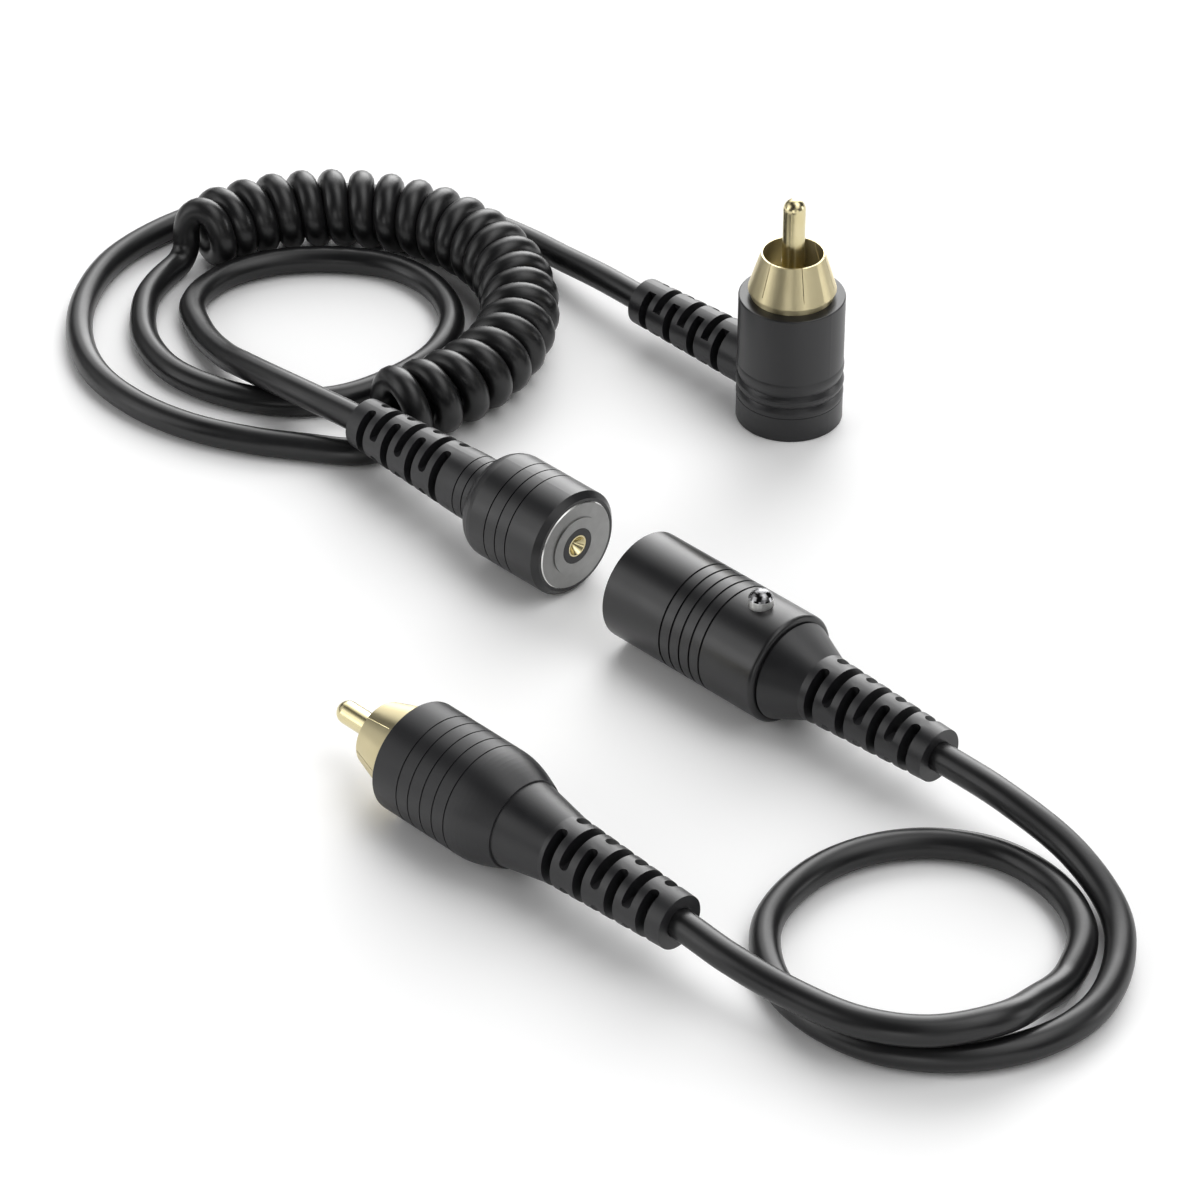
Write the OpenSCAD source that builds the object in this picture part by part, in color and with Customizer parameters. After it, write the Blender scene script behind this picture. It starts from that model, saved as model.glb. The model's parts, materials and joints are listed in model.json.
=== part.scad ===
// Stereo-plug lead in two halves: a curly half with a magnet plug and a right-angle phono plug,
// and a short half with a magnet socket and a straight phono plug.
// Millimetres, +Z up, floor at z = 0. The origin is under the middle of the hard pieces.

/* [Cable] */
// Diameter of the cable's jacket
cable_d = 4; // [3.4:0.1:4.4]
// Radius from the curly stretch's centre line to the middle of the cable
curl_r = 3.9; // [3.2:0.1:4.4]

/* [Barrels] */
// Diameter of the magnet plug, the magnet socket and the straight plug
barrel_d = 15.5; // [15:0.1:17]
// Depth of the thin grip grooves
groove_depth = 0.25; // [0.1:0.05:0.4]
// Width of the magnet plug's grip grooves
groove_w = 0.2; // [0.1:0.05:0.4]
// Rounding of the barrels' front edges
edge_r = 0.2; // [0.1:0.1:0.6]

/* [Magnet plug] */
// Length of the barrel, from its face to the boot
plug_len = 16.3; // [15.5:0.1:18]
// Rounding at the back of the barrel
plug_back_r = 3; // [2:0.1:3]
// Diameter of the raised middle of the steel face
boss_d = 8.5; // [7.5:0.1:8.5]
// Height of the raised middle of the steel face
boss_h = 0.2; // [0.1:0.05:0.3]
// Radius of the gold cup's conical mouth
cup_mouth_r = 1.4; // [1.3:0.05:1.4]
// Depth of the gold cup's conical mouth
cup_mouth_depth = 1.5; // [1.4:0.1:2]

/* [Magnet socket] */
// Length of the housing, from its face to the boot
socket_len = 27.35; // [26.5:0.1:30]
// Distance from the housing's rear to the release button
button_inset = 5.7; // [5.6:0.05:7]
// Rounding at the back of the housing
socket_back_r = 0.7; // [0.4:0.1:0.8]
// Width of the housing's grip grooves
socket_groove_w = 0.3; // [0.1:0.05:0.4]
// Diameter of the button's stem
button_d = 3.3; // [2.8:0.1:3.4]
// Height of the button's straight wall over the barrel
button_wall_h = 1.1; // [1:0.1:1.3]
// Height of the button's dome
button_dome_h = 1.1; // [0.5:0.1:1.3]
// How far the button goes down
button_travel = 1; // [0.5:0.1:1.2]
// Diameter of the sprung contact pin
contact_d = 1.8; // [1.4:0.1:1.8]
// How far the contact pin stands out of the face
contact_reach = 0.83; // [0.5:0.01:0.9]

/* [Magnets and faces] */
// Width of the black rim round the two steel faces
rim_w = 1.25; // [1.25:0.05:1.5]
// Thickness of the two steel faces
face_t = 0.8; // [0.6:0.1:1.2]
// Chamfer round the rim of the two steel faces
face_chamfer = 0.15; // [0.1:0.05:0.2]
// Length of the ring magnet in the plug
plug_magnet_len = 4; // [3:0.1:5]
// Length of the ring magnet in the socket
socket_magnet_len = 5; // [4:0.1:6]
// Diameter of the black insulators in the two faces
core_d = 5.2; // [4.8:0.1:5.4]

/* [Phono plugs] */
// Diameter of the centre pin
pin_d = 3.2; // [3:0.05:3.3]
// Diameter of the skirt at its base
skirt_base_d = 12.6; // [12.2:0.1:13]
// Diameter of the skirt at its rim
skirt_rim_d = 9.1; // [8.9:0.1:9.5]
// Wall of the skirt
skirt_wall = 0.25; // [0.2:0.05:0.4]
// Length of the skirt
skirt_len = 5.8; // [5.5:0.1:7]
// Number of spring slits in the skirt
slit_count = 6; // [4:1:8]
// Width of a spring slit
slit_w = 0.1; // [0.1:0.05:0.4]
// Length of a spring slit
slit_len = 4.9; // [3:0.1:5]
// Diameter of the neck under the skirt
neck_d = 11.8; // [11:0.1:12]
// Height of the neck under the skirt
neck_h = 1; // [0.8:0.1:1.4]
// Diameter of the insulator round the centre pin
insulator_d = 5.8; // [5:0.1:6.4]

/* [Straight plug] */
// Length of the body, from its front to the boot
straight_len = 19.85; // [19:0.1:22]
// How far the pin stands out of the skirt
straight_reach = 8; // [7.5:0.1:9.5]
// Depth of its fine grooves
fine_groove_depth = 0.15; // [0.1:0.05:0.3]
// Width of its fine grooves
fine_groove_w = 0.2; // [0.1:0.05:0.3]

/* [Right-angle plug] */
// Diameter of the body
angle_d = 15.3; // [15:0.1:16]
// Diameter of the cap under the body
angle_cap_d = 15.4; // [15:0.1:16]
// Height of the cap
angle_cap_h = 3.84; // [3:0.1:4.2]
// Height of the body's top
angle_h = 20.2; // [19:0.1:22]
// How far the pin stands out of the skirt
angle_reach = 8.7; // [7.5:0.1:9.5]
// Height of the boot's axis
angle_boot_z = 6; // [5.6:0.1:6.6]

/* [Boots] */
// Radius of the boots at their slender end
boot_tip_r = 3.7; // [3.4:0.1:4]
// Radius of the boots where the slots start
boot_slot_r = 4.7; // [4.5:0.1:5]
// Width of a boot slot
slot_w = 1.45; // [1:0.05:1.6]
// Distance between two slots that face the same way
slot_pitch = 5.2; // [4.8:0.1:5.4]
// Half the angle that a side slot covers
side_slot_half = 68; // [55:1:70]
// Half the angle that an upper or lower slot covers
top_slot_half = 62; // [50:1:66]

/* [Layout] */
// Y of the axis that the magnet plug and the socket share
lead_y = -2.8; // [-6:0.1:2]
// X of the magnet plug's face
plug_x = -11.55; // [-14:0.05:-11]
// X of the socket's face
socket_x = 0.95; // [0.95:0.05:4]
// Y of the straight plug's axis
straight_y = -50.1; // [-54:0.1:-46]
// X of the straight plug's front
straight_x = 7.3; // [4:0.1:10]
// X of the right-angle plug's axis
angle_x = -21.9; // [-24:0.1:-20]
// Y of the right-angle plug's axis
angle_y = 50.15; // [46:0.05:54]

/* [Hidden] */
$fn = 96;

black = "#1b1b1d";
soft_black = "#141416";
gold = "#e2c27a";
steel = "#b9bcc0";
dark_steel = "#6e7176";
nylon = "#2a2a2c";

// Clearance round a piece that is pressed or glued in
seat = 0.05;
// Clearance round a piece that moves
run = 0.05;
cut = 0.01;

cable_r = cable_d / 2;
barrel_r = barrel_d / 2;
face_r = barrel_r - rim_w;
boss_r = boss_d / 2;
core_r = core_d / 2;
pin_r = pin_d / 2;
contact_r = contact_d / 2;
boot_bore_r = cable_r + seat;

// Magnet plug, measured from its face towards the boot
rim_back = 0.35;
rim_chamfer = 0.8;
plug_floor_z = boss_h + face_t + plug_magnet_len;
plug_core_len = 9;
cup_r = pin_r;
cup_tail_r = 0.95;
cup_tail_len = 1.6;
spigot_r = 3.5;
spigot_len = 5;
plug_grooves = [6.2, 8.2, 10.3];
plug_boot_grooves = [1.75, 3.45];
plug_boot_len = 26.35;
plug_boot_root_r = 4.75;

// Magnet socket, measured from its face towards the boot
bore_r = face_r + seat;
face_back = 0.1;
recess_gap = 0.2;
recess_r = boss_r + recess_gap;
recess_depth = 0.35;
socket_magnet_z = face_back + face_t;
carrier_z = socket_magnet_z + socket_magnet_len;
core_len = 9.6;
socket_grooves = [10.7, 12.5, 14.3, 16.1, 17.9];
// Width of the flat ring between the housing's rounding and the boot's cone
socket_end_ring = 0.15;
socket_boot_root_r = barrel_r - socket_back_r - socket_end_ring;
// Width of the shadow gap between the housing and the boot's cone
socket_root_gap = 0.3;
socket_cone_len = 5.5;
socket_spigot_len = 3;
socket_boot_len = 25.9;
wire_bore_r = 1.4;
sleeve_r = 1.5;
sleeve_len = 9;
sleeve_floor_t = 1;
contact_len = 5;
spring_turns = 4;
spring_sides = 6;

// Release button
button_r = button_d / 2;
flange_w = 0.6;
flange_r = button_r + flange_w;
flange_t = 1.1;
button_x = socket_x + socket_len - button_inset;
barrel_top = barrel_d;
flange_top = barrel_r + sqrt(bore_r * bore_r - flange_r * flange_r) - run;
pocket_floor_t = 0.45;
pocket_floor = barrel_r + wire_bore_r + pocket_floor_t;

// Phono plugs, measured from the skirt's base towards the pin's tip
skirt_base_r = skirt_base_d / 2;
skirt_rim_r = skirt_rim_d / 2;
skirt_foot_h = 0.15;
slit_turn = 29;
insulator_r = insulator_d / 2;
insulator_up = 1.6;
insulator_down = 5;
pin_tail_len = 2.5;
pin_tail_r = 1;
pin_shank_r = pin_r - 0.2;

// Straight plug, measured from the body's front towards the boot
straight_grooves = [4.55, 6.65, 8.85, 11, 13.15];
straight_round_len = 6.15;
straight_taper = 1.55;
straight_lip = 0.25;
straight_back_r = barrel_r - straight_taper;
straight_root_r = straight_back_r - straight_lip;
straight_sink = 0.35;
straight_bore_r = 4.9;
straight_cone_len = 7.1;
straight_boot_len = 27.05;

// Right-angle plug
angle_r = angle_d / 2;
angle_cap_r = angle_cap_d / 2;
angle_wall = 1.6;
angle_cavity_top = 12.5;
lid_rise = 1;
lid_wall = 1;
lid_floor_t = 1.8;
// Soft ridges at the body's foot: height, bulge, and the part of a half wave that each covers
angle_ridges = [[1.5, 0.1, 50, 180], [1.9, 0.15, 0, 180], [1.9, 0.1, 0, 115]];
angle_foot_h = 5.6;
angle_boot_r = 4.2;
angle_boot_tip_r = 3.55;
angle_boot_root = 6;
angle_boot_len = 29.3;
angle_slot_pitch = 5;
last_slot = 3;
slot_rows = 7;
// Distance from a boot's axis to the flat floor of its upper and lower slots
slot_floor = 1.3;

// Where the cable leaves each boot
plug_exit_x = plug_x - plug_len - plug_boot_len;
socket_exit_x = socket_x + socket_len + socket_boot_len;

// Routes of the cable where it isn't coiled, from boot to boot, chosen by hand over the photograph
coil_route = [[-30, -2.8, 7.75], [-54, -2.8, 7.75], [-64, -2.8, 7], [-72.5, -3, 6.4],
              [-80.5, -2.2, 4.8], [-88, 0.4, 2.2], [-95.5, 2.2, 2], [-102.5, 6.5, 2],
              [-105, 14, 2], [-103, 22.5, 2], [-97, 30, 2], [-89, 34.8, 2], [-80.5, 35, 2],
              [-72.5, 31, 2], [-67.3, 23, 2], [-66.2, 14, 2], [-68.2, 4.5, 2],
              [-74.5, -2.9, 2], [-83, -6.7, 2], [-91.5, -7.5, 2], [-100.5, -4.5, 2],
              [-108, 2, 2], [-112, 9.5, 2], [-115, 15, 4]];
angle_route = [[-60, 5.6, 4], [-57, 0.8, 2], [-60.5, -5.2, 2], [-69, -11.6, 2], [-78, -15.5, 2],
               [-88, -17.1, 2], [-98, -15.9, 2], [-107, -11.5, 2], [-114.5, -4.5, 2],
               [-120, 5, 2], [-121.8, 15, 2], [-120.8, 25, 2], [-117, 34.5, 2], [-110.5, 43, 2],
               [-101.5, 49.5, 2], [-91, 53, 2], [-80, 53.5, 2.8], [-70, 51.8, 4.5],
               [-60.5, 50.6, 5.8], [-51, 50.15, 6], [-31, 50.15, 6]];
socket_route = [[30, -50.1, 7.75], [54, -50.1, 7.75], [63, -50.2, 7.3], [72, -48.8, 6.3],
                [81, -46.6, 6.1], [88, -41.8, 6.1], [92.3, -34, 6], [91.6, -27, 4],
                [90, -19, 2], [86, -11.5, 2], [78.5, -7, 2], [69, -6.6, 2], [61, -11, 2],
                [56, -18.2, 2], [54.4, -27, 2], [57, -37.2, 2], [64.4, -44.2, 2],
                [73, -46.6, 2], [82.5, -45, 2], [90.5, -39, 2], [95.4, -30.5, 2],
                [96.2, -21.5, 2], [92.6, -12.5, 2], [86.5, -6, 2.6], [77, -2.8, 4.8],
                [66, -2.7, 7.1], [54, -2.8, 7.75], [30, -2.8, 7.75]];
tube_sides = 8;

// The curly stretch lies in half an oval on the floor
curl_centre = [-83.1, 15.7];
curl_reach = [28.8, 28.3];
curl_from = 179;
curl_to = -20;
curl_rings = 13;
curl_sides = 12;
curl_outer_r = curl_r + cable_r;

// Points of an arc in a profile
function arc(centre, r, from, to, steps = 8) =
    [for (i = [0:steps]) centre + r * [cos(from + (to - from) * i / steps),
                                       sin(from + (to - from) * i / steps)]];

// Thin grooves across a profile that runs along z at radius r
function grooves(places, r, w = groove_w, depth = groove_depth) =
    [for (z = places) each [[r, z - w / 2], [r - depth, z - w / 2], [r - depth, z + w / 2], [r, z + w / 2]]];

function unit(v) = v / norm(v);

// Direction of a path at its point i
function heading(path, i) = unit(path[min(i + 1, len(path) - 1)] - path[max(i - 1, 0)]);

// One ring of a tube round point i of a path
function ring(path, i, r, sides) =
    let (t = heading(path, i), side = unit(cross(t, [0, 0, 1])), up = cross(side, t))
    [for (k = [0:sides - 1]) path[i] + r * (cos(360 * k / sides) * side + sin(360 * k / sides) * up)];

// A closed tube along a path
module tube(path, r, sides) {
    rings = len(path);
    polyhedron(
        points = [for (i = [0:rings - 1]) each ring(path, i, r, sides)],
        faces = concat(
            [[for (k = [0:sides - 1]) k]],
            [for (i = [0:rings - 2], k = [0:sides - 1])
                let (a = i * sides + k, b = i * sides + (k + 1) % sides)
                each [[a, a + sides, b + sides], [a, b + sides, b]]],
            [[for (k = [0:sides - 1]) rings * sides - 1 - k]]),
        convexity = 6);
}

// Path of a wire spring that stands along z
function helix(r, wire_r, height, turns, steps = 12) =
    [for (i = [0:turns * steps])
        [r * cos(360 * i / steps), r * sin(360 * i / steps),
         wire_r + (height - 2 * wire_r) * i / (turns * steps)]];

module revolve(profile) {
    rotate_extrude() polygon(profile);
}

// Frames: the two mating halves and the straight plug lie along X, the right-angle plug stands
module plug_frame() {
    translate([plug_x, lead_y, barrel_r]) rotate([0, -90, 0]) children();
}

module socket_frame() {
    translate([socket_x, lead_y, barrel_r]) rotate([0, 90, 0]) children();
}

module straight_frame() {
    translate([straight_x, straight_y, barrel_r]) rotate([0, 90, 0]) children();
}

module straight_skirt_frame() {
    straight_frame() translate([0, 0, straight_sink]) rotate([180, 0, 0])
        translate([0, 0, neck_h]) children();
}

module angle_skirt_frame() {
    translate([angle_x, angle_y, angle_h + neck_h]) children();
}

// A slot through one side of a boot's wall, centred on +x
module slot(z, half, round_ends) {
    rotate([0, 0, -half])
        translate([0, 0, z - slot_w / 2])
            rotate_extrude(angle = 2 * half)
                translate([cable_r / 2, 0]) square([barrel_r, slot_w]);
    if (round_ends)
        for (end = [-half, half])
            rotate([0, 0, end])
                translate([cable_r / 2, 0, z])
                    rotate([0, 90, 0]) cylinder(r = slot_w / 2, h = barrel_r, $fn = 32);
}

// The slots of a boot that points along z: side slots and upper and lower slots take turns.
// The upper and lower ones end on a flat floor, which shows as a ramp at their ends.
module boot_slots(length, pitch, round_ends) {
    for (i = [0:slot_rows - 1], side = [0, 180]) {
        z = length - last_slot - i * pitch / 2;
        if (i % 2 == 0)
            rotate([0, 0, side + 90]) slot(z, side_slot_half, round_ends);
        else
            rotate([0, 0, side]) intersection() {
                slot(z, top_slot_half, round_ends);
                translate([slot_floor, -barrel_r, z - slot_w])
                    cube([barrel_d, barrel_d, 2 * slot_w]);
            }
    }
}

// A flex-relief boot along z, from its root at z = 0
module relief_boot(root_r, cone_len, length, peg_r, peg_len, marks = [], gap = 0) {
    undercut_r = root_r - groove_depth;
    difference() {
        revolve(concat(
            [[boot_bore_r, -peg_len], [peg_r, -peg_len], [peg_r, 0]],
            gap == 0 ? [[root_r, 0]] : [[undercut_r, 0], [undercut_r, gap], [root_r, gap]],
            grooves(marks, root_r),
            [[boot_slot_r, cone_len], [boot_tip_r, length], [boot_bore_r, length]]));
        boot_slots(length, slot_pitch, true);
    }
}

// Magnet plug
module plug_barrel() {
    color(black) plug_frame() revolve(concat(
        [[face_r + seat, rim_back], [barrel_r - rim_chamfer, rim_back],
         [barrel_r, rim_back + rim_chamfer]],
        grooves(plug_grooves, barrel_r),
        arc([barrel_r - plug_back_r, plug_len - plug_back_r], plug_back_r, 0, 90),
        [[spigot_r + seat, plug_len], [spigot_r + seat, plug_core_len],
         [core_r + seat, plug_core_len], [core_r + seat, plug_floor_z],
         [face_r + seat, plug_floor_z]]));
}

module plug_face() {
    color(steel) plug_frame() revolve([[core_r + seat, 0], [boss_r, 0], [boss_r, boss_h],
        [face_r - face_chamfer, boss_h], [face_r, boss_h + face_chamfer],
        [face_r, boss_h + face_t], [core_r + seat, boss_h + face_t]]);
}

module plug_magnet() {
    color(dark_steel) plug_frame() translate([0, 0, boss_h + face_t]) difference() {
        cylinder(r = face_r - seat, h = plug_magnet_len);
        translate([0, 0, -cut]) cylinder(r = core_r + 2 * seat, h = plug_magnet_len + 2 * cut);
    }
}

module plug_insulator() {
    color(black) plug_frame() revolve([[cup_r + seat, 0], [core_r, 0], [core_r, plug_core_len],
        [cup_r + seat, plug_core_len]]);
}

module plug_cup() {
    color(gold) plug_frame() difference() {
        union() {
            cylinder(r = cup_r, h = plug_core_len);
            cylinder(r = cup_tail_r, h = plug_core_len + cup_tail_len);
        }
        translate([0, 0, -cut])
            cylinder(r1 = cup_mouth_r, r2 = cup_mouth_r / 4, h = cup_mouth_depth);
        translate([0, 0, plug_core_len])
            cylinder(r = cup_tail_r * 2 / 3, h = cup_tail_len + cut);
    }
}

module plug_boot() {
    color(soft_black) plug_frame() translate([0, 0, plug_len])
        relief_boot(plug_boot_root_r, slot_pitch, plug_boot_len, spigot_r, spigot_len,
                    plug_boot_grooves);
}

// Magnet socket
module socket_housing() {
    color(black) difference() {
        socket_frame() revolve(concat(
            [[bore_r, 0]],
            arc([barrel_r - edge_r, edge_r], edge_r, -90, 0, 4),
            grooves(socket_grooves, barrel_r, socket_groove_w),
            arc([barrel_r - socket_back_r, socket_len - socket_back_r], socket_back_r, 0, 90, 6),
            [[bore_r, socket_len]]));
        translate([button_x, lead_y, barrel_r])
            cylinder(r = button_r + run, h = barrel_d);
    }
}

module socket_face() {
    color(steel) socket_frame() translate([0, 0, face_back]) revolve([
        [core_r + seat, recess_depth], [recess_r, recess_depth], [recess_r, 0],
        [face_r - face_chamfer, 0], [face_r, face_chamfer],
        [face_r, face_t], [core_r + seat, face_t]]);
}

module socket_magnet() {
    color(dark_steel) socket_frame() translate([0, 0, socket_magnet_z]) difference() {
        cylinder(r = face_r - seat, h = socket_magnet_len);
        translate([0, 0, -cut]) cylinder(r = core_r + 2 * seat, h = socket_magnet_len + 2 * cut);
    }
}

module socket_insulator() {
    color(black) socket_frame() translate([0, 0, face_back + recess_depth]) difference() {
        cylinder(r = core_r, h = core_len);
        translate([0, 0, -cut]) cylinder(r = sleeve_r + seat, h = core_len + 2 * cut);
    }
}

module socket_carrier() {
    back = socket_len - socket_spigot_len;
    front = face_back + recess_depth + core_len;
    color(nylon) difference() {
        socket_frame() revolve([[core_r + seat, carrier_z], [face_r - seat, carrier_z],
            [face_r - seat, back], [wire_bore_r, back], [wire_bore_r, front],
            [core_r + seat, front]]);
        translate([button_x, lead_y, pocket_floor])
            cylinder(r = flange_r + run, h = barrel_d);
    }
}

module socket_boot() {
    color(soft_black) socket_frame() translate([0, 0, socket_len])
        relief_boot(socket_boot_root_r, socket_cone_len, socket_boot_len, face_r - seat,
                    socket_spigot_len, gap = socket_root_gap);
}

module contact_sleeve() {
    color(gold) socket_frame() translate([0, 0, face_back + recess_depth]) difference() {
        cylinder(r = sleeve_r, h = sleeve_len);
        translate([0, 0, -cut]) cylinder(r = contact_r + run, h = sleeve_len - sleeve_floor_t);
    }
}

module contact_pin() {
    color(gold) socket_frame() translate([0, 0, contact_r - contact_reach]) {
        sphere(r = contact_r, $fn = 48);
        cylinder(r = contact_r, h = contact_len - contact_r);
    }
}

module contact_spring() {
    start = contact_len - contact_reach;
    stop = face_back + recess_depth + sleeve_len - sleeve_floor_t - cut;
    wire = 0.14;
    path = helix(contact_r - wire - run, wire, stop - start - cut, spring_turns);
    color(steel) translate([socket_x + start + cut, lead_y, barrel_r])
        tube([for (p = path) [p.z, p.y, p.x]], wire, spring_sides);
}

module release_button() {
    stem_h = barrel_top + button_wall_h - flange_top;
    dome_r = (button_r * button_r + button_dome_h * button_dome_h) / (2 * button_dome_h);
    color(steel) translate([button_x, lead_y, flange_top]) {
        translate([0, 0, -flange_t]) cylinder(r = flange_r, h = flange_t);
        revolve(concat(
            [[0, -flange_t], [button_r, -flange_t]],
            arc([0, stem_h + button_dome_h - dome_r], dome_r, asin(1 - button_dome_h / dome_r), 90)));
    }
}

module button_spring() {
    wire = 0.2;
    height = flange_top - flange_t - pocket_floor - 2 * cut;
    color(steel) translate([button_x, lead_y, pocket_floor + cut])
        tube(helix(button_r - wire, wire, height, spring_turns), wire, spring_sides);
}

// Phono pieces, from the skirt's base towards the pin's tip
module phono_shell() {
    inner_base = skirt_base_r - skirt_wall;
    inner_rim = skirt_rim_r - skirt_wall;
    difference() {
        revolve([[insulator_r + seat, -neck_h], [neck_d / 2, -neck_h], [neck_d / 2, 0],
            [skirt_base_r, 0], [skirt_base_r, skirt_foot_h], [skirt_rim_r, skirt_len],
            [inner_rim, skirt_len], [inner_base, skirt_foot_h], [insulator_r + seat, skirt_foot_h]]);
        for (i = [0:slit_count - 1])
            rotate([0, 0, slit_turn + 360 * i / slit_count])
                translate([insulator_r + 2 * seat, -slit_w / 2, skirt_len - slit_len])
                    cube([skirt_base_r, slit_w, slit_len + cut]);
    }
}

module phono_insulator() {
    translate([0, 0, -insulator_down]) difference() {
        cylinder(r = insulator_r, h = insulator_down + insulator_up);
        translate([0, 0, -cut])
            cylinder(r = pin_shank_r + seat, h = insulator_down + insulator_up + 2 * cut);
    }
}

module phono_pin(reach) {
    tip = skirt_len + reach;
    translate([0, 0, insulator_up]) cylinder(r = pin_r, h = tip - pin_r - insulator_up);
    translate([0, 0, -insulator_down]) cylinder(r = pin_shank_r, h = insulator_down + insulator_up);
    translate([0, 0, tip - pin_r]) sphere(r = pin_r, $fn = 64);
    translate([0, 0, -insulator_down - pin_tail_len]) cylinder(r = pin_tail_r, h = pin_tail_len);
}

// Straight plug
module straight_body() {
    round_z = straight_len - straight_round_len;
    bulge = barrel_r - straight_back_r;
    color(black) straight_frame() revolve(concat(
        [[insulator_r + seat, straight_sink], [neck_d / 2 + seat, straight_sink],
         [neck_d / 2 + seat, 0]],
        arc([barrel_r - edge_r, edge_r], edge_r, -90, 0, 4),
        grooves(straight_grooves, barrel_r, fine_groove_w, fine_groove_depth),
        [for (i = [0:8]) [straight_back_r + bulge * cos(90 * i / 8),
                          round_z + straight_round_len * i / 8]],
        [[straight_bore_r + seat, straight_len], [straight_bore_r + seat, insulator_down],
         [insulator_r + seat, insulator_down]]));
}

module straight_shell() {
    color(gold) straight_skirt_frame() phono_shell();
}

module straight_insulator() {
    color(nylon) straight_skirt_frame() phono_insulator();
}

module straight_pin() {
    color(gold) straight_skirt_frame() phono_pin(straight_reach);
}

module straight_boot() {
    color(soft_black) straight_frame() translate([0, 0, straight_len])
        relief_boot(straight_root_r, straight_cone_len, straight_boot_len, straight_bore_r,
                    spigot_len);
}

// Right-angle plug
module angle_boot_hole() {
    translate([angle_x, angle_y, angle_boot_z]) rotate([0, -90, 0])
        translate([0, 0, angle_boot_root - seat]) cylinder(r = angle_boot_r + seat, h = angle_d);
}

// The soft ridges round the foot of the body, from z upwards
function ridge(z, h, bulge, from, to) =
    [for (i = [0:6]) [angle_r - groove_depth + (groove_depth + bulge) * sin(from + (to - from) * i / 6),
                      z + h * i / 6]];

function ridges(z, i = 0) = i == len(angle_ridges) ? [] :
    let (row = angle_ridges[i])
    concat(ridge(z, row[0], row[1], row[2], row[3]), ridges(z + row[0] + cut, i + 1));

module angle_body() {
    foot = angle_cap_h + seat;
    hollow_r = angle_r - angle_wall;
    color(black) difference() {
        translate([angle_x, angle_y, 0]) revolve(concat(
            [[hollow_r, foot]],
            ridges(foot),
            [[angle_r, foot + angle_foot_h]],
            arc([angle_r - edge_r, angle_h - edge_r], edge_r, 0, 90, 4),
            [[insulator_r + seat, angle_h], [insulator_r + seat, angle_cavity_top],
             [hollow_r, angle_cavity_top]]));
        angle_boot_hole();
    }
}

module angle_end_cap() {
    lid_r = angle_r - angle_wall - seat;
    color(black) difference() {
        translate([angle_x, angle_y, 0]) revolve(concat(
            [[0, 0]],
            arc([angle_cap_r - edge_r, edge_r], edge_r, -90, 0, 4),
            [[angle_cap_r, angle_cap_h], [lid_r, angle_cap_h], [lid_r, angle_cap_h + lid_rise],
             [lid_r - lid_wall, angle_cap_h + lid_rise], [lid_r - lid_wall, lid_floor_t],
             [0, lid_floor_t]]));
        angle_boot_hole();
    }
}

module angle_shell() {
    color(gold) angle_skirt_frame() phono_shell();
}

module angle_insulator() {
    color(nylon) angle_skirt_frame() phono_insulator();
}

module angle_pin() {
    color(gold) angle_skirt_frame() phono_pin(angle_reach);
}

module angle_boot() {
    color(soft_black) translate([angle_x, angle_y, angle_boot_z]) rotate([0, -90, 0]) difference() {
        revolve([[boot_bore_r, angle_boot_root], [angle_boot_r, angle_boot_root],
            [angle_boot_r, angle_r], [angle_boot_tip_r, angle_boot_len],
            [boot_bore_r, angle_boot_len]]);
        boot_slots(angle_boot_len, angle_slot_pitch, false);
    }
}

// Cable
module coil_lead() {
    color(soft_black) tube(coil_route, cable_r, tube_sides);
}

module curly_coil() {
    path = [for (i = [0:curl_rings - 1])
        let (a = curl_from + (curl_to - curl_from) * i / (curl_rings - 1))
        [curl_centre.x + curl_reach.x * cos(a), curl_centre.y + curl_reach.y * sin(a), curl_outer_r]];
    color(soft_black) tube(path, curl_outer_r, curl_sides);
}

module angle_lead() {
    color(soft_black) tube(angle_route, cable_r, tube_sides);
}

module socket_lead() {
    color(soft_black) tube(socket_route, cable_r, tube_sides);
}

plug_barrel();
plug_face();
plug_magnet();
plug_insulator();
plug_cup();
plug_boot();
socket_housing();
socket_face();
socket_magnet();
socket_insulator();
socket_carrier();
socket_boot();
contact_sleeve();
contact_pin();
contact_spring();
release_button();
button_spring();
straight_body();
straight_shell();
straight_insulator();
straight_pin();
straight_boot();
angle_body();
angle_end_cap();
angle_shell();
angle_insulator();
angle_pin();
angle_boot();
coil_lead();
curly_coil();
angle_lead();
socket_lead();
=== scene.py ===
import json
import math
import bmesh
import bpy
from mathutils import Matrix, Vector
from mathutils.bvhtree import BVHTree


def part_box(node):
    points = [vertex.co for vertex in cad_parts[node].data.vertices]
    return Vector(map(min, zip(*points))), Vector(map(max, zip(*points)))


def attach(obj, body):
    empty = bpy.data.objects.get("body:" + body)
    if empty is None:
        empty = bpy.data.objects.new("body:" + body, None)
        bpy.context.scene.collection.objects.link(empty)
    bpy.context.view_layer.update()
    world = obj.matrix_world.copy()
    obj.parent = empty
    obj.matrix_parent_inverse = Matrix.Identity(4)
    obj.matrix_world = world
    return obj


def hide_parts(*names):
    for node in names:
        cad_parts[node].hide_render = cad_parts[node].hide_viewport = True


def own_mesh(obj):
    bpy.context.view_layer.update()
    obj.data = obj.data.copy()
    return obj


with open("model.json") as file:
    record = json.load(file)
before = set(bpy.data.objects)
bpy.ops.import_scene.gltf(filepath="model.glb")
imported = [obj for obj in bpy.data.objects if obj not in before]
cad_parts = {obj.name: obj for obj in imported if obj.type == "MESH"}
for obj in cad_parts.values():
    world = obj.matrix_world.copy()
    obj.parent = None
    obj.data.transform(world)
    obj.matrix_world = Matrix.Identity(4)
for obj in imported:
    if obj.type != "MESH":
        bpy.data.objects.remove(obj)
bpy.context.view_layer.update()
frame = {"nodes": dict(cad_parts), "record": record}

mm = 0.001  # sizes in this file are in millimetres


def place(x, y, z):
    return Vector((x, y, z)) * mm


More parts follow.
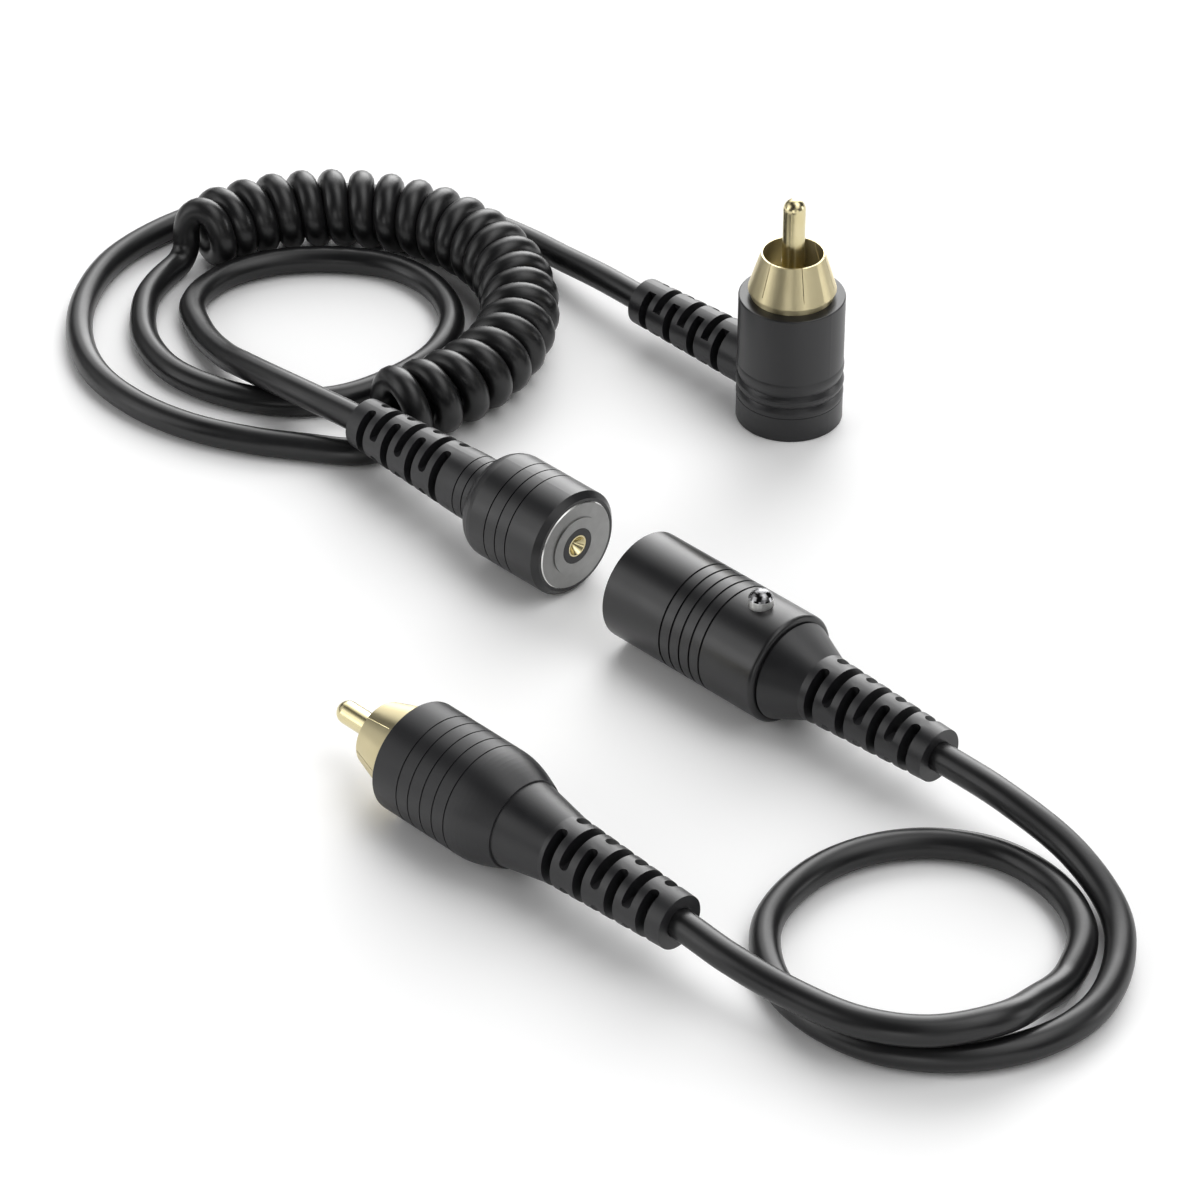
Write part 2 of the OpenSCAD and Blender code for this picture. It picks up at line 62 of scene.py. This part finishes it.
def linear(code):  # sRGB hex to the linear colour that the shaders take
    channels = [int(code[i:i + 2], 16) / 255 for i in (1, 3, 5)]
    return [c / 12.92 if c <= 0.04045 else ((c + 0.055) / 1.055) ** 2.4 for c in channels] + [1.0]


def addNode(tree, kind, settings=None, inputs=None):
    node = tree.nodes.new(kind)
    for name, value in (settings or {}).items():
        setattr(node, name, value)
    for name, value in (inputs or {}).items():
        if isinstance(value, bpy.types.NodeSocket):
            tree.links.new(value, node.inputs[name])
        else:
            node.inputs[name].default_value = value
    return node


# Camera: settled over the photograph from the round ends of the barrels and the two pins
camera = {"aim": (-8.15, -1.85, 0), "azimuth": 45.25, "elevation": 35.6, "distance": 635.8,
          "lens": 140, "sensor": 36, "frame": 1200, "clip": (0.01, 20)}


def makeCamera():
    around = math.radians(camera["azimuth"])
    above = math.radians(camera["elevation"])
    back = Vector((math.sin(around) * math.cos(above), -math.cos(around) * math.cos(above), math.sin(above)))
    data = bpy.data.cameras.new("camera")
    data.lens = camera["lens"]
    data.sensor_width = camera["sensor"]
    data.sensor_fit = "AUTO"
    data.clip_start, data.clip_end = camera["clip"]
    eye = bpy.data.objects.new("camera", data)
    eye.location = place(*camera["aim"]) + back * camera["distance"] * mm
    eye.rotation_euler = (-back).to_track_quat("-Z", "Y").to_euler()
    bpy.context.scene.collection.objects.link(eye)
    bpy.context.scene.camera = eye
    bpy.context.view_layer.update()
    return eye


eye = makeCamera()
print("camera is set")

# Cables: their middle lines, in millimetres. The curls are wound between the first two routes and the
# third; their angles are in degrees, and they take curlSteps points to a turn.
cable = {"diameter": 4.0, "step": 1.0, "fewestSteps": 2, "sides": 6,
         "curlCentre": (-83.1, 15.7), "curlReach": (28.8, 28.3), "curlFrom": 176.6, "curlTo": -25,
         "curlPhase": 22.5, "curlTurns": 23.3125, "curlRadius": 3.9, "curlSteps": 16}
coilRoute = [(-30, -2.8, 7.75), (-54, -2.8, 7.75), (-64, -2.8, 7), (-72.5, -3, 6.4),
             (-80.5, -2.2, 5), (-87, -0.7, 3.3), (-95.5, 2.2, 2.1), (-102.5, 6.5, 2),
             (-105, 14, 2), (-103, 22.5, 2), (-97, 30, 2), (-89, 34.8, 2), (-80.5, 35, 2),
             (-72.5, 31, 2), (-67.3, 23, 2), (-66.2, 14, 2), (-68.2, 4.5, 2),
             (-74.5, -2.9, 2), (-83, -6.7, 2), (-91.5, -7.5, 2), (-100.5, -4.5, 2),
             (-108, 2, 2), (-110.6, 6.3, 2), (-112.1, 10.6, 2)]
# Here the cable comes up from the floor and goes over into the first curl
riseRoute = [(-112.5, 12.35, 2.25), (-112.75, 13.35, 2.85), (-112.9, 14.1, 3.75),
             (-113.05, 14.5, 4.85), (-113.15, 14.6, 6.05), (-113.2, 14.75, 7.3),
             (-113, 15.05, 8.5), (-112.5, 15.5, 9.5), (-111.65, 16.05, 10.15),
             (-110.55, 16.55, 10.2), (-109.5, 16.9, 9.6), (-108.75, 17.1, 8.6)]
angleRoute = [(-55.1, 1.8, 2), (-54.9, -0.9, 2), (-56.4, -3.2, 2), (-62.1, -7.2, 2), (-69, -11.6, 2),
              (-78, -15.5, 2), (-88, -17.1, 2), (-98, -15.9, 2), (-107, -11.5, 2), (-114.5, -4.5, 2),
              (-120, 5, 2), (-121.8, 15, 2), (-120.8, 25, 2), (-117, 34.5, 2), (-110.5, 43, 2),
              (-101.5, 49.5, 2), (-91, 53, 2), (-80, 53.5, 2.8), (-70, 51.8, 4.5),
              (-60.5, 50.6, 5.8), (-51, 50.15, 6), (-31, 50.15, 6)]
socketRoute = [(30, -50.1, 7.75), (54, -50.1, 7.75), (63, -50.2, 7.3), (72, -48.8, 6.3),
               (81, -46.6, 6.1), (88, -41.8, 6.1), (92.3, -34, 6), (91.6, -27, 4),
               (90, -19, 2), (86, -11.5, 2), (78.5, -7, 2), (69, -6.6, 2), (61, -11, 2),
               (56, -18.2, 2), (54.4, -27, 2), (57, -37.2, 2), (64.4, -44.2, 2),
               (73, -46.6, 2), (82.5, -45, 2), (90.5, -39, 2), (95.4, -30.5, 2),
               (96.2, -21.5, 2), (92.6, -12.5, 2), (86.5, -6, 2.6), (77, -2.8, 4.8),
               (66, -2.7, 7.1), (54, -2.8, 7.75), (30, -2.8, 7.75)]


# The curly stretch: turns round a middle line that lies in half an oval over the floor
def windCurls():
    middleX, middleY = cable["curlCentre"]
    reachX, reachY = cable["curlReach"]
    radius = cable["curlRadius"]
    height = cable["diameter"] / 2 + radius
    count = round(cable["curlTurns"] * cable["curlSteps"])
    line = []
    for i in range(count + 1):
        u = i / count
        along = math.radians(cable["curlFrom"] + (cable["curlTo"] - cable["curlFrom"]) * u)
        turn = math.radians(cable["curlPhase"] - 360 * cable["curlTurns"] * u)
        outward = Vector((reachY * math.cos(along), reachX * math.sin(along), 0)).normalized()
        core = Vector((middleX + reachX * math.cos(along), middleY + reachY * math.sin(along), height))
        line.append(core + radius * (-math.cos(turn) * outward + math.sin(turn) * Vector((0, 0, 1))))
    return line


# One smooth curve through the points, a centripetal Catmull-Rom spline, which never sinks into the floor
def smoothRoute(points):
    knots = [Vector(p) for p in points]
    ends = [knots[0] * 2 - knots[1]] + knots + [knots[-1] * 2 - knots[-2]]
    line = []
    for a, b, c, d in zip(ends, ends[1:], ends[2:], ends[3:]):
        ab, bc, cd = ((q - p).length ** 0.5 for p, q in ((a, b), (b, c), (c, d)))
        leave = ((b - a) / ab - (c - a) / (ab + bc) + (c - b) / bc) * bc
        arrive = ((c - b) / bc - (d - b) / (bc + cd) + (d - c) / cd) * bc
        steps = max(cable["fewestSteps"], round((c - b).length / cable["step"]))
        for i in range(steps):
            t = i / steps
            line.append(b * (2 * t ** 3 - 3 * t ** 2 + 1) + leave * (t ** 3 - 2 * t ** 2 + t)
                        + c * (3 * t ** 2 - 2 * t ** 3) + arrive * (t ** 3 - t ** 2))
    line.append(knots[-1])
    for spot in line:
        spot.z = max(spot.z, cable["diameter"] / 2)
    return line


def makeCable(name, line, body, nodes):
    curve = bpy.data.curves.new(name, "CURVE")
    curve.dimensions = "3D"
    # Blender widens a curve's box by its points' radius, whatever the depth: the radius is the tube's
    curve.bevel_depth = 1
    curve.bevel_resolution = cable["sides"]
    curve.use_fill_caps = True
    spline = curve.splines.new("POLY")
    spline.points.add(len(line) - 1)
    for point, spot in zip(spline.points, line):
        point.co = (*(spot * mm), 1)
        point.radius = cable["diameter"] / 2 * mm
    cord = bpy.data.objects.new(name, curve)
    bpy.context.scene.collection.objects.link(cord)
    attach(cord, body)
    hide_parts(*nodes)
    return cord


# The last point is where the cable leaves its boot
curlyCable = makeCable("curlyCable", smoothRoute(coilRoute + riseRoute + windCurls() + angleRoute),
                       "curly_half", ("coil_lead", "curly_coil", "angle_lead"))
shortCable = makeCable("shortCable", smoothRoute(socketRoute), "short_half", ("socket_lead",))

# Springs: the part's own wire. The vertices that
# its triangles share are merged first, if they lie within the weld distance.
springs = {"buttonSpring": {"of": "button_spring", "joint": "button_press", "along": (0, 0, -1),
                            "travel": 1, "weld": 0.001},
           "contactSpring": {"of": "contact_spring", "joint": "contact_press", "along": (1, 0, 0),
                             "travel": 0.8, "weld": 0.001}}


def makeSpring(name, spring):
    mesh = frame["nodes"][spring["of"]].data.copy()
    work = bmesh.new()
    work.from_mesh(mesh)
    bmesh.ops.remove_doubles(work, verts=work.verts, dist=spring["weld"] * mm)
    work.to_mesh(mesh)
    work.free()
    wire = bpy.data.objects.new(name, mesh)
    bpy.context.scene.collection.objects.link(wire)
    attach(wire, "short_half")
    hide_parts(spring["of"])
    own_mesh(wire)
    return wire


wires = [makeSpring(name, spring) for name, spring in springs.items()]
print("springs are made")

# Finishes. Patches, grain, relief and marks are in millimetres; roughness runs between its two values.

# Anodised aluminium, bead blasted: satin black with a broad soft shine and a fine even grain.
# Blasting leaves pits near 0.05 mm, drawn four times as coarse so that they show.
anodisedAluminium = {"colour": "#161617", "second": "#1d1d1f", "patch": 9, "roughness": (0.27, 0.35),
                     "specular": 0.5, "grain": 0.2, "relief": 0.004}
# ABS, moulded in a turned steel tool: a little greyer than the metal, and on the straight body the
# tool's rings draw the soft shine out along it. The grain is 0.2 mm across.
mouldedAbs = {"colour": "#171719", "second": "#1f1f21", "patch": 14, "roughness": (0.4, 0.46),
              "specular": 0.5, "grain": 0.22, "relief": 0.005, "anisotropic": 0.75}
# The same on the right-angle body, whose tool was polished instead: glossier, and without the rings.
smoothAbs = {"colour": "#171719", "second": "#1f1f21", "patch": 14, "roughness": (0.31, 0.39),
             "specular": 0.5, "grain": 0.22, "relief": 0.005}
# Soft PVC, moulded round the cable: rubbery satin black, mottled where it cooled.
softPvc = {"colour": "#161618", "second": "#1f1f21", "patch": 5, "roughness": (0.33, 0.43),
           "specular": 0.5, "grain": 0.25, "relief": 0.007}
# PVC jacket, extruded: smooth satin black, slightly uneven along its length from the die.
pvcJacket = {"colour": "#131314", "second": "#1b1b1c", "patch": 7, "roughness": (0.28, 0.36),
             "specular": 0.45, "grain": 0.6, "relief": 0.008}
# Acetal, turned and faced: flat dark grey.
turnedAcetal = {"colour": "#1c1c1e", "second": "#242426", "patch": 2, "roughness": (0.42, 0.5),
                "specular": 0.45, "grain": 0.15, "relief": 0.003}
# Brass under nickel and thin gold, turned: pale champagne gold. The tool marks run round the
# piece 0.1 mm apart and smear what it mirrors along its axis; they are drawn 0.3 mm apart.
turnedGold = {"colour": "#d2c7a2", "second": "#cabe97", "patch": 5, "roughness": (0.36, 0.4),
              "metallic": 1, "grain": 0.3, "relief": 0.0005,
              "anisotropic": 0.9, "pitch": 0.3, "marks": 0.0004}
# The same plating on the polished pins and the cup: sharper and brighter.
polishedGold = {"colour": "#d9cea8", "second": "#d0c496", "patch": 2, "roughness": (0.2, 0.25),
                "metallic": 1, "grain": 0.3, "relief": 0.0005}
# Mild steel, faced on a lathe and nickel plated: plain mid grey, with a painted highlight round it, a
# near-white, glossier ring on the chamfer.
# The facing marks are rings 0.1 mm apart, drawn 0.35 mm apart so that they just show.
facedSteel = {"colour": "#989897", "second": "#8f8f8e", "patch": 1.5, "roughness": (0.4, 0.48),
              "metallic": 1, "grain": 0.2, "relief": 0.002, "pitch": 0.35, "marks": 0.001,
              "axis": (0, -2.8, 7.75), "edge": 6.36, "edgeBlend": 0.01,
              "paintedEdgeHighlight": "#f0f0ee", "edgeRoughness": 0.2}
# Neodymium, sintered and nickel plated: darker and slightly pitted.
platedMagnet = {"colour": "#8a8a88", "second": "#7b7b79", "patch": 2, "roughness": (0.3, 0.42),
                "metallic": 1, "grain": 0.3, "relief": 0.004}
# Black chrome on brass: a dark mirror dome, over a wall whose near-white, duller colour is a painted
# reflection of the bright floor.
blackChrome = {"colour": "#8a8a8c", "second": "#808082", "patch": 1, "roughness": (0.05, 0.08),
               "metallic": 1, "grain": 0.3, "relief": 0.0003,
               "wallTop": 16.6, "wallBlend": 0.02, "paintedWallReflection": "#f2f2f0", "wallRoughness": 0.45}
# Spring wire, drawn: bright steel with a light haze.
springWire = {"colour": "#b8b8b6", "second": "#a2a2a0", "patch": 1, "roughness": (0.22, 0.3),
              "metallic": 1, "grain": 0.15, "relief": 0.001}


# What every surface here has: slow patches of colour, uneven gloss and a fine grain. The gloss runs over
# the middle of the noise's range, where most of its values lie.
noise = {"patchDetail": 3.0, "grainDetail": 2.0, "low": 0.3, "high": 0.7}


def startFinish(name, look):
    material = bpy.data.materials.new(name)
    material.use_nodes = True
    tree = material.node_tree
    tree.nodes.clear()
    spots = addNode(tree, "ShaderNodeTexCoord").outputs["Object"]
    patches = addNode(tree, "ShaderNodeTexNoise", None,
                      {"Vector": spots, "Scale": 1 / (look["patch"] * mm),
                       "Detail": noise["patchDetail"]}).outputs["Fac"]
    grain = addNode(tree, "ShaderNodeTexNoise", None,
                    {"Vector": spots, "Scale": 1 / (look["grain"] * mm),
                     "Detail": noise["grainDetail"]}).outputs["Fac"]
    colour = addNode(tree, "ShaderNodeMix", {"data_type": "RGBA"},
                     {"Factor": patches, 6: linear(look["colour"]), 7: linear(look["second"])}).outputs[2]
    low, high = look["roughness"]
    gloss = addNode(tree, "ShaderNodeMapRange", None,
                    {"Value": patches, "From Min": noise["low"], "From Max": noise["high"],
                     "To Min": low, "To Max": high})
    rise = addNode(tree, "ShaderNodeBump", None, {"Height": grain, "Distance": look["relief"] * mm})
    shader = addNode(tree, "ShaderNodeBsdfPrincipled", None,
                     {"Base Color": colour, "Roughness": gloss.outputs["Result"],
                      "Normal": rise.outputs["Normal"], "Metallic": look.get("metallic", 0)})
    if "specular" in look:
        shader.inputs["Specular IOR Level"].default_value = look["specular"]
    addNode(tree, "ShaderNodeOutputMaterial", None, {"Surface": shader.outputs["BSDF"]})
    return material, tree, spots, shader


# What a socket is linked to now
def feed(socket):
    return socket.links[0].from_socket


# Tool marks on top of the grain: rings round an axis that lies along X, or bands along X or Z. The wave
# texture repeats every 0.314 at a scale of 1.
wave = {"repeat": 0.314, "distortion": 0.3, "detail": 1.0}


def addMarks(tree, shader, spots, look, kind):
    marks = addNode(tree, "ShaderNodeTexWave", kind,
                    {"Vector": spots, "Scale": wave["repeat"] / (look["pitch"] * mm),
                     "Distortion": wave["distortion"], "Detail": wave["detail"]})
    rise = addNode(tree, "ShaderNodeBump", None,
                   {"Height": marks.outputs["Fac"], "Distance": look["marks"] * mm,
                    "Normal": feed(shader.inputs["Normal"])})
    tree.links.new(rise.outputs["Normal"], shader.inputs["Normal"])


# Another colour and gloss, which blends in from one size in millimetres to the other on the given output.
# Here it paints the steel's edge highlight and the button wall's reflection.
def addZone(tree, shader, measure, outside, inside, colour, roughness):
    mask = addNode(tree, "ShaderNodeMapRange", None,
                   {"Value": measure, "From Min": outside * mm, "From Max": inside * mm}).outputs["Result"]
    blend = addNode(tree, "ShaderNodeMix", {"data_type": "RGBA"},
                    {"Factor": mask, 6: feed(shader.inputs["Base Color"]), 7: linear(colour)}).outputs[2]
    gloss = addNode(tree, "ShaderNodeMix", None,
                    {"Factor": mask, 2: feed(shader.inputs["Roughness"]), 3: roughness}).outputs[0]
    tree.links.new(blend, shader.inputs["Base Color"])
    tree.links.new(gloss, shader.inputs["Roughness"])


def makePlain(name, look):
    return startFinish(name, look)[0]


# Marks that run round an axis through the middle of a node smear what the surface mirrors along that axis.
# The tangent runs round the axis, and a quarter turn brings the smear to lie along it.
quarterTurn = 0.25


def addTurning(tree, shader, spots, look, node, axis):
    low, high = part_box(node)
    outward = addNode(tree, "ShaderNodeVectorMath", {"operation": "SUBTRACT"},
                      {0: spots, 1: (low + high) / 2})
    around = addNode(tree, "ShaderNodeVectorMath", {"operation": "CROSS_PRODUCT"},
                     {0: axis, 1: outward.outputs["Vector"]})
    tree.links.new(around.outputs["Vector"], shader.inputs["Tangent"])
    shader.inputs["Anisotropic"].default_value = look["anisotropic"]
    shader.inputs["Anisotropic Rotation"].default_value = quarterTurn


def makeTurned(name, look, node, axis):
    material, tree, spots, shader = startFinish(name, look)
    if "pitch" in look:
        addMarks(tree, shader, spots, look, {"wave_type": "BANDS", "bands_direction": axis})
    addTurning(tree, shader, spots, look, node, {"X": (1, 0, 0), "Z": (0, 0, 1)}[axis])
    return material


def makeFacedSteel():
    look = facedSteel
    material, tree, spots, shader = startFinish("facedSteel", look)
    centred = addNode(tree, "ShaderNodeMapping", None,
                      {"Vector": spots, "Location": [-c * mm for c in look["axis"]]}).outputs["Vector"]
    addMarks(tree, shader, centred, look, {"wave_type": "RINGS", "rings_direction": "X"})
    across = addNode(tree, "ShaderNodeVectorMath", {"operation": "MULTIPLY"}, {0: centred, 1: (0, 1, 1)})
    radius = addNode(tree, "ShaderNodeVectorMath", {"operation": "LENGTH"}, {0: across.outputs["Vector"]})
    # Painted highlight: outside the edge radius the chamfer turns near-white and glossier
    addZone(tree, shader, radius.outputs["Value"], look["edge"], look["edge"] + look["edgeBlend"],
            look["paintedEdgeHighlight"], look["edgeRoughness"])
    return material


def makeBlackChrome():
    look = blackChrome
    material, tree, spots, shader = startFinish("blackChrome", look)
    height = addNode(tree, "ShaderNodeSeparateXYZ", None, {"Vector": spots}).outputs["Z"]
    # Painted reflection: below the wall's top the button turns near-white and duller
    addZone(tree, shader, height, look["wallTop"] + look["wallBlend"], look["wallTop"] - look["wallBlend"],
            look["paintedWallReflection"], look["wallRoughness"])
    return material


finishes = {
    "barrel_black": makePlain("anodisedAluminium", anodisedAluminium),
    "boot_black": makePlain("softPvc", softPvc),
    "cable_black": makePlain("pvcJacket", pvcJacket),
    "core_black": makePlain("turnedAcetal", turnedAcetal),
    "gold": makePlain("polishedGold", polishedGold),
    "face_steel": makeFacedSteel(),
    "magnet_grey": makePlain("platedMagnet", platedMagnet),
    "button_chrome": makeBlackChrome(),
    "spring_steel": makePlain("springWire", springWire),
}
polishedAbs = makePlain("smoothAbs", smoothAbs)
# Pieces whose finish differs from their slot's. The straight body's rings run round its skirt's axis.
ownFinishes = {"straight_shell": makeTurned("turnedGoldLying", turnedGold, "straight_shell", "X"),
               "angle_shell": makeTurned("turnedGoldStanding", turnedGold, "angle_shell", "Z"),
               "straight_body": makeTurned("mouldedAbsLying", mouldedAbs, "straight_shell", "X"),
               "angle_body": polishedAbs, "angle_end_cap": polishedAbs}

slots = {piece["node"]: piece["material_slot"] for piece in frame["record"]["subparts"]}
for name, node in frame["nodes"].items():
    for slot in node.material_slots:
        slot.material = ownFinishes.get(name, finishes[slots[name]])
for cord in (curlyCable, shortCable):
    cord.data.materials.append(finishes["cable_black"])
for wire in wires:
    wire.data.materials.clear()
    wire.data.materials.append(finishes["spring_steel"])
print("finishes are on")

# Floor: a white paper sheet, wide enough for every view. The camera and the mirrors see it a
# tenth brighter than it lights the object, so that it goes over into the white background.
floor = {"half": 6000, "colour": "#fbfbfb", "second": "#f7f7f7", "patch": 300, "roughness": (0.9, 0.95),
         "specular": 0, "grain": 3, "relief": 0.01, "lift": 1.1}


def makeFloor():
    half = floor["half"] * mm
    mesh = bpy.data.meshes.new("floor")
    corners = [(-half, -half, 0), (half, -half, 0), (half, half, 0), (-half, half, 0)]
    mesh.from_pydata(corners, [], [(0, 1, 2, 3)])
    sheet = bpy.data.objects.new("floor", mesh)
    bpy.context.scene.collection.objects.link(sheet)
    material, tree, spots, shader = startFinish("whitePaper", floor)
    path = addNode(tree, "ShaderNodeLightPath").outputs
    seen = path["Is Camera Ray"]
    for kind in ("Is Glossy Ray", "Is Transmission Ray"):
        seen = addNode(tree, "ShaderNodeMath", {"operation": "MAXIMUM"},
                       {0: seen, 1: path[kind]}).outputs["Value"]
    lift = addNode(tree, "ShaderNodeMapRange", None, {"Value": seen, "To Min": 1, "To Max": floor["lift"]})
    white = addNode(tree, "ShaderNodeVectorMath", {"operation": "SCALE"},
                    {0: feed(shader.inputs["Base Color"]), "Scale": lift.outputs["Result"]})
    tree.links.new(white.outputs["Vector"], shader.inputs["Base Color"])
    sheet.data.materials.append(material)


# Studio: soft boxes by their bearing from +X and their height in degrees, with their strength and the
# angle at which they have faded out, and a pale wall low round the horizon, which fades between two heights
studio = {"full": 4, "wall": 0.2, "wallFrom": 3, "wallTo": 12, "rest": 0.02,
          "boxes": [(122, 12, 4.0, 26), (120, 28, 2.4, 26), (148, 30, 1.1, 26), (120, 46, 1.9, 26),
                    (150, 46, 1.4, 26), (45, 64, 1.9, 26), (72, 78, 1.0, 26), (0, 50, 1.5, 26),
                    (240, 30, 1.7, 26), (205, 28, 0.7, 26), (-30, 20, 0.5, 26), (30, 30, 0.2, 26),
                    (236, 8, 2.0, 16), (-58, 7, 2.2, 16), (-14, 6, 1.2, 14), (50, 8, 3.0, 15)]}


def makeStudio():
    world = bpy.data.worlds.new("studio")
    bpy.context.scene.world = world
    world.use_nodes = True
    tree = world.node_tree
    tree.nodes.clear()
    way = addNode(tree, "ShaderNodeTexCoord").outputs["Generated"]
    height = addNode(tree, "ShaderNodeSeparateXYZ", None, {"Vector": way}).outputs["Z"]
    level = addNode(tree, "ShaderNodeMapRange", {"interpolation_type": "SMOOTHSTEP"},
                    {"Value": height, "From Min": math.sin(math.radians(studio["wallFrom"])),
                     "From Max": math.sin(math.radians(studio["wallTo"])),
                     "To Min": studio["wall"], "To Max": studio["rest"]}).outputs["Result"]
    for bearing, above, strength, reach in studio["boxes"]:
        around, tilt = math.radians(bearing), math.radians(above)
        aim = (math.cos(around) * math.cos(tilt), math.sin(around) * math.cos(tilt), math.sin(tilt))
        near = addNode(tree, "ShaderNodeVectorMath", {"operation": "DOT_PRODUCT"}, {0: way, 1: aim})
        glow = addNode(tree, "ShaderNodeMapRange", {"interpolation_type": "SMOOTHSTEP"},
                       {"Value": near.outputs["Value"], "From Min": math.cos(math.radians(reach)),
                        "From Max": math.cos(math.radians(studio["full"])), "To Min": 0, "To Max": strength})
        level = addNode(tree, "ShaderNodeMath", {"operation": "ADD"},
                        {0: level, 1: glow.outputs["Result"]}).outputs["Value"]
    light = addNode(tree, "ShaderNodeBackground", None, {"Strength": level})
    light.inputs["Color"].default_value = (1, 1, 1, 1)
    addNode(tree, "ShaderNodeOutputWorld", None, {"Surface": light.outputs["Background"]})


makeFloor()
makeStudio()
bpy.context.scene.view_settings.view_transform = "Standard"
print("floor and lights are set")


# How far each piece shows from its image point, by the vertices that the camera sees: the ray to one may
# stop this many millimetres short of it
sightSlack = 0.1


def measurePoints():
    bpy.context.view_layer.update()
    pieces = {name: node for name, node in frame["nodes"].items() if not node.hide_render}
    pieces.update({"curlyCable": curlyCable, "shortCable": shortCable})
    graph = bpy.context.evaluated_depsgraph_get()
    corners, faces, owner = [], [], []
    for name, piece in pieces.items():
        mesh = bpy.data.meshes.new_from_object(piece.evaluated_get(graph))
        first = len(corners)
        corners += [piece.matrix_world @ v.co for v in mesh.vertices]
        faces += [[first + i for i in face.vertices] for face in mesh.polygons]
        owner += [name] * len(mesh.vertices)
        bpy.data.meshes.remove(mesh)
    solid = BVHTree.FromPolygons(corners, faces)
    inverse = eye.matrix_world.inverted()
    middle = camera["frame"] / 2
    scale = camera["frame"] * camera["lens"] / camera["sensor"]
    seen = {}
    for corner, name in zip(corners, owner):
        way = corner - eye.location
        hit = solid.ray_cast(eye.location, way.normalized())[3]
        if hit is not None and hit > way.length - sightSlack * mm:
            flat = inverse @ corner
            seen.setdefault(name, []).append((middle - scale * flat.x / flat.z,
                                              middle + scale * flat.y / flat.z))
    seen["hardPieces"] = [p for name in frame["nodes"] for p in seen.get(name, [])]


measurePoints()
